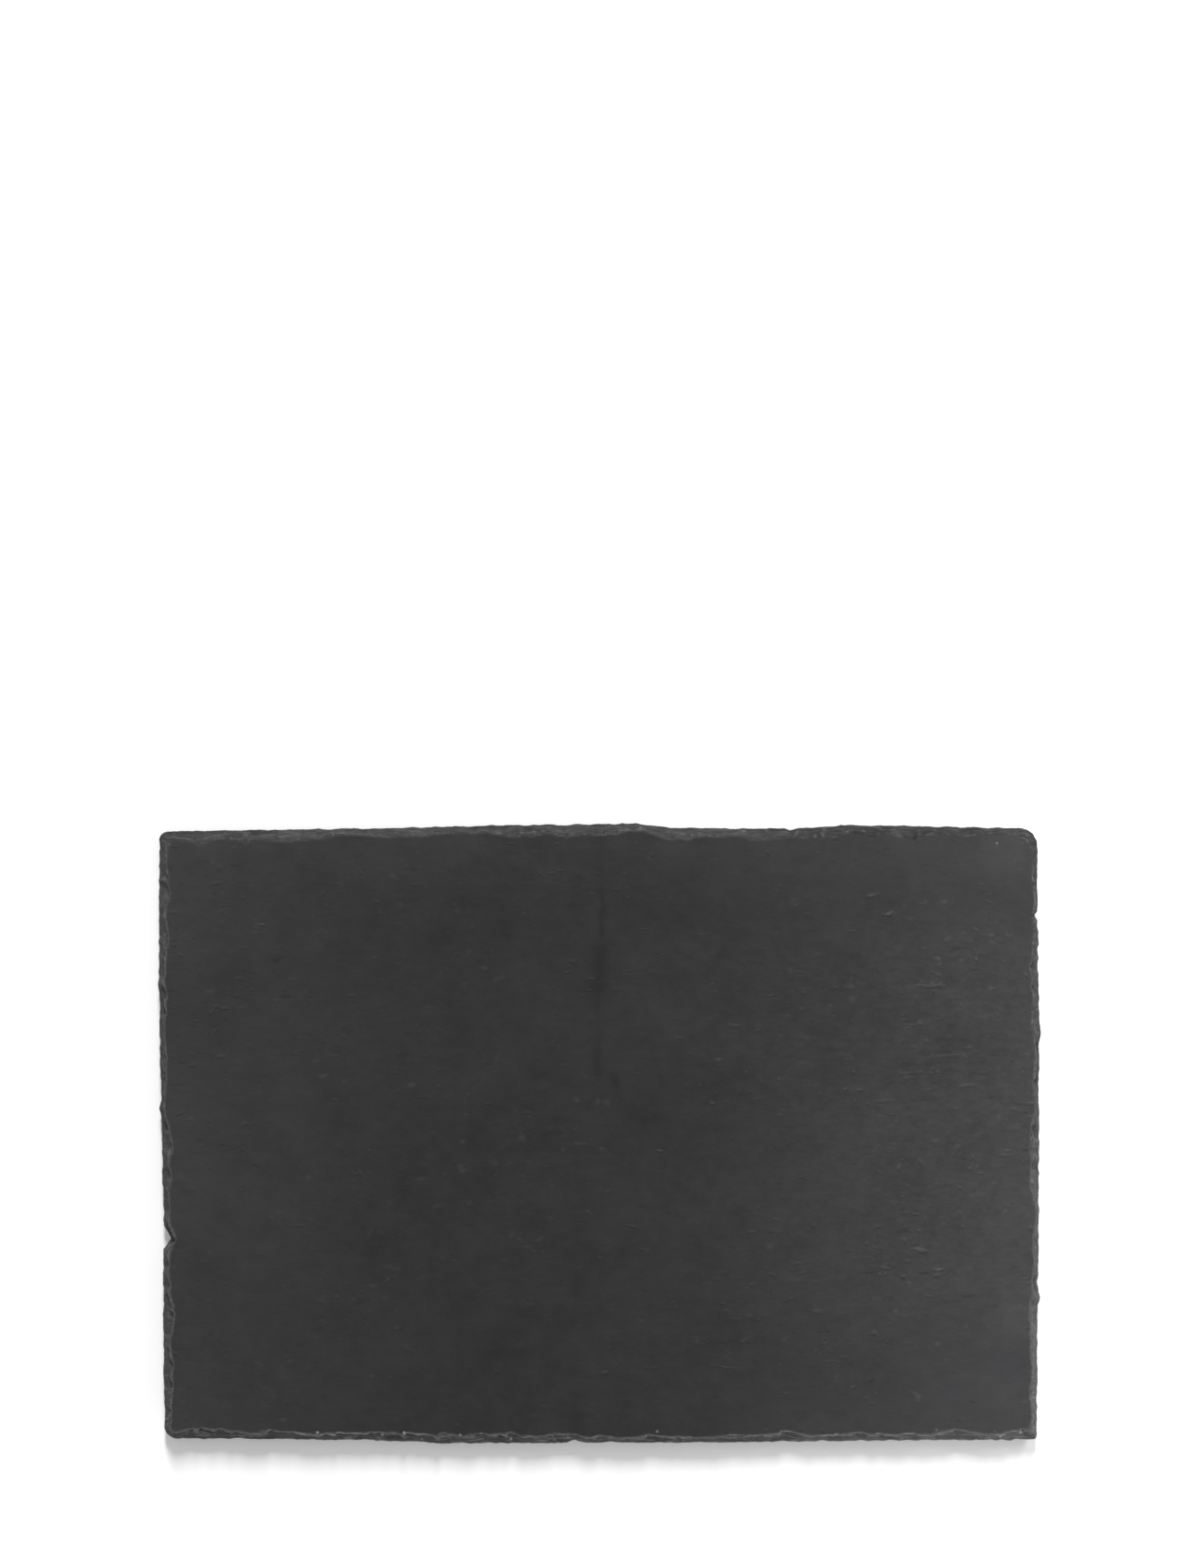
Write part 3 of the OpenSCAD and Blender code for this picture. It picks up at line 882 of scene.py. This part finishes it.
    # Dust on the proud ridges, also a painted highlight there
    worn = f.rising(f.noise((4, 4, 2), 3, 0.6, (20, 0, 0)), 0.48, 0.62)
    dust = worn * f.rising(ridge + 0.12 * (facets - 0.5), 0.08, 0.2)
    broken = f.mixed(0.5 * dust, broken, dust_and_highlight_tone)
    rust = f.rising(f.noise((9, 9, 4), 2, 0.5, (0, 0, 20)), 0.68, 0.76)
    broken = f.mixed(0.35 * rust, broken, rust_tone)
    edge = f.rising(dressed + 0.6 * (mottle - 0.5), 0.25, 0.85)
    colour = f.mixed(edge, leaf, broken)

    # Painted glints: bright specks along the front, in the back right corner and at the front left
    cells = {"voronoi_dimensions": "2D"}
    place = {"Vector": f.place(glint_cell), "Scale": 1}
    spot = f.node("ShaderNodeTexVoronoi", cells, place, out="Distance") + 0.05 * (grit - 0.5)
    luck = f.node("ShaderNodeSeparateColor", {}, {
        0: f.node("ShaderNodeTexVoronoi", cells, place, out="Color")}, out=0)
    at_corners = (f.along("X", 130, 138) * f.along("Y", 100, 104)
                  + f.along("X", -155, -159) * f.along("Y", -65, -75))
    at_rim = f.math("MAXIMUM", at_corners, f.along("Y", -109.5, -112.5))
    painted_glint = (at_rim * f.rising(spot, 0.1, 0) * f.rising(luck, 0.3, 0.8)
             * f.along("Z", 5, 7))
    colour = f.mixed(painted_glint, colour, f.mixed(to_front, *glint_tones))

    # Relief in millimetres
    rough = 0.55 + 0.3 * (mottle - 0.5) + 0.2 * edge
    relief = (0.1 * blotch + 0.09 * mottle + 0.05 * streak + 0.03 * grit + 0.06 * dash
              - 0.05 * shade - 0.05 * pit + 0.05 * smudge + 0.08 * painted_glint
              + edge * (0.25 * (layers - 0.5) + 0.25 * (facets - 0.5) + 0.2 * (crumble - 0.5)))
    bump = f.node("ShaderNodeBump", {}, {"Height": relief, "Strength": 1, "Distance": MM})
    return f.surface({
        "Base Color": colour, "Roughness": rough, "Normal": bump, "Specular IOR Level": 0.18})


def rubber_finish():
    """Moulded black rubber with a fine, slightly dusty grain."""
    f = Finish("foot_rubber")
    grain = f.noise((0.35, 0.35, 0.35), 3, 0.6)
    dust = f.rising(f.noise((3, 3, 3), 3, 0.6), 0.45, 0.75)
    colour = f.mixed(dust * 0.4 + 0.2 * grain, *rubber_tones)
    bump = f.node("ShaderNodeBump", {}, {
        "Height": grain, "Strength": 0.35, "Distance": 0.08 * MM})
    return f.surface({
        "Base Color": colour, "Roughness": 0.55 + 0.3 * dust, "Normal": bump,
        "Specular IOR Level": 0.4})


def adhesive_finish():
    """Milky adhesive film, a little yellowed, with a soft gloss."""
    f = Finish("adhesive")
    cloud = f.noise((1.5, 1.5, 1.5), 3, 0.6)
    colour = f.mixed(cloud, *adhesive_tones)
    bump = f.node("ShaderNodeBump", {}, {
        "Height": cloud, "Strength": 0.3, "Distance": 0.05 * MM})
    return f.surface({"Base Color": colour, "Roughness": 0.35 + 0.2 * cloud, "Normal": bump})


def turned(name, centre, profile, material, steps=96):
    """A surface turned about the vertical through centre: rows of [radius, height] carried
    round a circle, closed at both poles."""
    angle = np.linspace(0, 2 * math.pi, steps, endpoint=False)
    radius, height = np.array(profile, float).T
    rings = np.stack([
        centre[0] + radius[1:-1, None] * np.cos(angle),
        centre[1] + radius[1:-1, None] * np.sin(angle),
        height[1:-1, None] + np.zeros(steps),
    ], -1)
    poles = [[centre[0], centre[1], height[0]], [centre[0], centre[1], height[-1]]]
    index = np.arange(rings[..., 0].size).reshape(rings.shape[:2])
    following = np.roll(index, -1, 1)
    first, last = index.size, index.size + 1
    faces = [
        quads(index.T, close=True),
        np.stack([np.full(steps, first), following[0], index[0]], -1),
        np.stack([np.full(steps, last), index[-1], following[-1]], -1),
    ]
    points = np.concatenate([rings.reshape(-1, 3), poles])
    return make_piece(name, points, faces, material, sharp=40)


def foot_profile(low, high):
    """A foot from the middle of its tread to the middle of its seat: a tread dished by a
    hair with the fourth power of the radius, a quarter-round rim, a straight tapering
    flank and a small quarter round at the seat."""
    seat = (high.x - low.x) / (2 * MM)
    bottom, top = low.z / MM, high.z / MM
    taper, rim_round, seat_round, dish = 0.4, 0.8, 0.15, 0.04
    rim_centre = seat - taper - rim_round
    side_low, side_high = bottom + rim_round, top - seat_round
    tread = [(rim_centre * t, bottom + dish * (1 - t ** 4)) for t in np.linspace(0, 1, 12)]
    rim = [(rim_centre + rim_round * math.cos(a), side_low + rim_round * math.sin(a))
           for a in np.linspace(-QUARTER, 0, 14)[1:]]
    flank = [(seat - taper * (1 - t), side_low + (side_high - side_low) * t)
             for t in np.linspace(0, 1, 7)[1:]]
    ease = [(seat - seat_round * (1 - math.cos(a)), side_high + seat_round * math.sin(a))
            for a in np.linspace(0, QUARTER, 5)[1:]]
    return tread + rim + flank + ease + [(0, top)]


slate = slate_finish()
rubber = rubber_finish()
adhesive = adhesive_finish()

points, faces, attributes = slab_mesh()
slab = make_piece("riven_slab", points, faces, slate, attributes, sharp=42)
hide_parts("slate_slab")

for name, (low, high) in foot_boxes.items():
    centre = ((low.x + high.x) / (2 * MM), (low.y + high.y) / (2 * MM))
    foot = turned(name.replace("foot", "rubber_foot"), centre, foot_profile(low, high), rubber)
    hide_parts(name)

for name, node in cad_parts.items():
    if name.startswith("adhesive_"):
        node.data.materials.clear()
        node.data.materials.append(adhesive)


# Studio: a white floor, a long soft lamp behind the board and a near one at its right
photo_width, photo_height = 1300, 1700
board_middle_px = (650, 1229.5)
board_span_px = 959
mm_per_px = board_length / board_span_px
lens = 135
sensor = 36
world_level = 0.35
floor_reach = 4000
floor_fade = 700
floor_lift = 0.16
floor_tone = grey(0.92)


def lamp(name, place, target, size, watts):
    """A rectangular lamp at place, turned to face target. Places are in metres."""
    light = bpy.data.lights.new(name, "AREA")
    light.shape = "RECTANGLE"
    light.size, light.size_y = size
    light.energy = watts
    holder = bpy.data.objects.new(name, light)
    holder.location = place
    holder.rotation_euler = (Vector(target) - Vector(place)).to_track_quat("-Z", "Y").to_euler()
    holder.visible_camera = False
    bpy.context.scene.collection.objects.link(holder)


def seen_directly(f):
    """1 for rays from the camera or off a gloss, 0 for the light that fills the scene."""
    path = "ShaderNodeLightPath"
    return f.math("MAXIMUM", f.node(path, out="Is Camera Ray"), f.math(
        "MAXIMUM", f.node(path, out="Is Glossy Ray"), f.node(path, out="Is Transmission Ray")))


def make_floor():
    """A wide pale floor that shows white, keeps the board's shadow, and far away turns to
    the white of its surround."""
    f = Finish("floor")
    distance = f.node("ShaderNodeVectorMath", {"operation": "LENGTH"}, {
        0: f.place((1, 1, 1))}, out="Value")
    far = f.rising(distance, floor_fade, 2 * floor_fade)
    lift = seen_directly(f) * (floor_lift + (1 - floor_lift) * far)
    material = f.surface({
        "Base Color": f.mixed(far, floor_tone, grey(0)), "Roughness": 0.9,
        "Specular IOR Level": 0, "Emission Color": f.mixed(lift, grey(0), grey(1)),
        "Emission Strength": 1})
    corners = floor_reach * MM * np.array([(-1, -1, 0), (1, -1, 0), (1, 1, 0), (-1, 1, 0)])
    mesh = bpy.data.meshes.new("floor")
    mesh.from_pydata(corners.tolist(), [], [(0, 1, 2, 3)])
    mesh.materials.append(material)
    floor = bpy.data.objects.new("floor", mesh)
    bpy.context.scene.collection.objects.link(floor)


def make_world():
    """A plain white surround, weaker as a light than it looks."""
    world = bpy.data.worlds.new("studio")
    bpy.context.scene.world = world
    f = Finish("studio", world)
    strength = world_level + seen_directly(f) * (1 - world_level)
    background = f.node("ShaderNodeBackground", {}, {"Color": grey(1), "Strength": strength})
    f.node("ShaderNodeOutputWorld", {}, {"Surface": background})


def make_camera():
    """Looks straight down, as the photograph does, at its own framing."""
    camera = bpy.data.cameras.new("camera")
    camera.lens = lens
    camera.sensor_width = sensor
    camera.clip_end = 100
    holder = bpy.data.objects.new("camera", camera)
    frame_height = photo_height * mm_per_px
    x = (photo_width / 2 - board_middle_px[0]) * mm_per_px
    y = (board_middle_px[1] - photo_height / 2) * mm_per_px
    holder.location = (x * MM, y * MM, (slate_top + frame_height * lens / sensor) * MM)
    bpy.context.scene.collection.objects.link(holder)
    bpy.context.scene.camera = holder


make_floor()
make_world()
make_camera()
lamp("back_lamp", (0, 6.9, 4.6), (0, 0, 0), (1.24, 3.4), 762)
lamp("right_lamp", (0.33, 0.08, 0.17), (0.08, 0.03, 0), (0.2, 0.06), 0.45)
lamp("front_lamp", (0.45, -0.5, 0.12), (0, -0.1, 0), (0.3, 0.1), 1.5)
bpy.context.scene.view_settings.view_transform = "Standard"
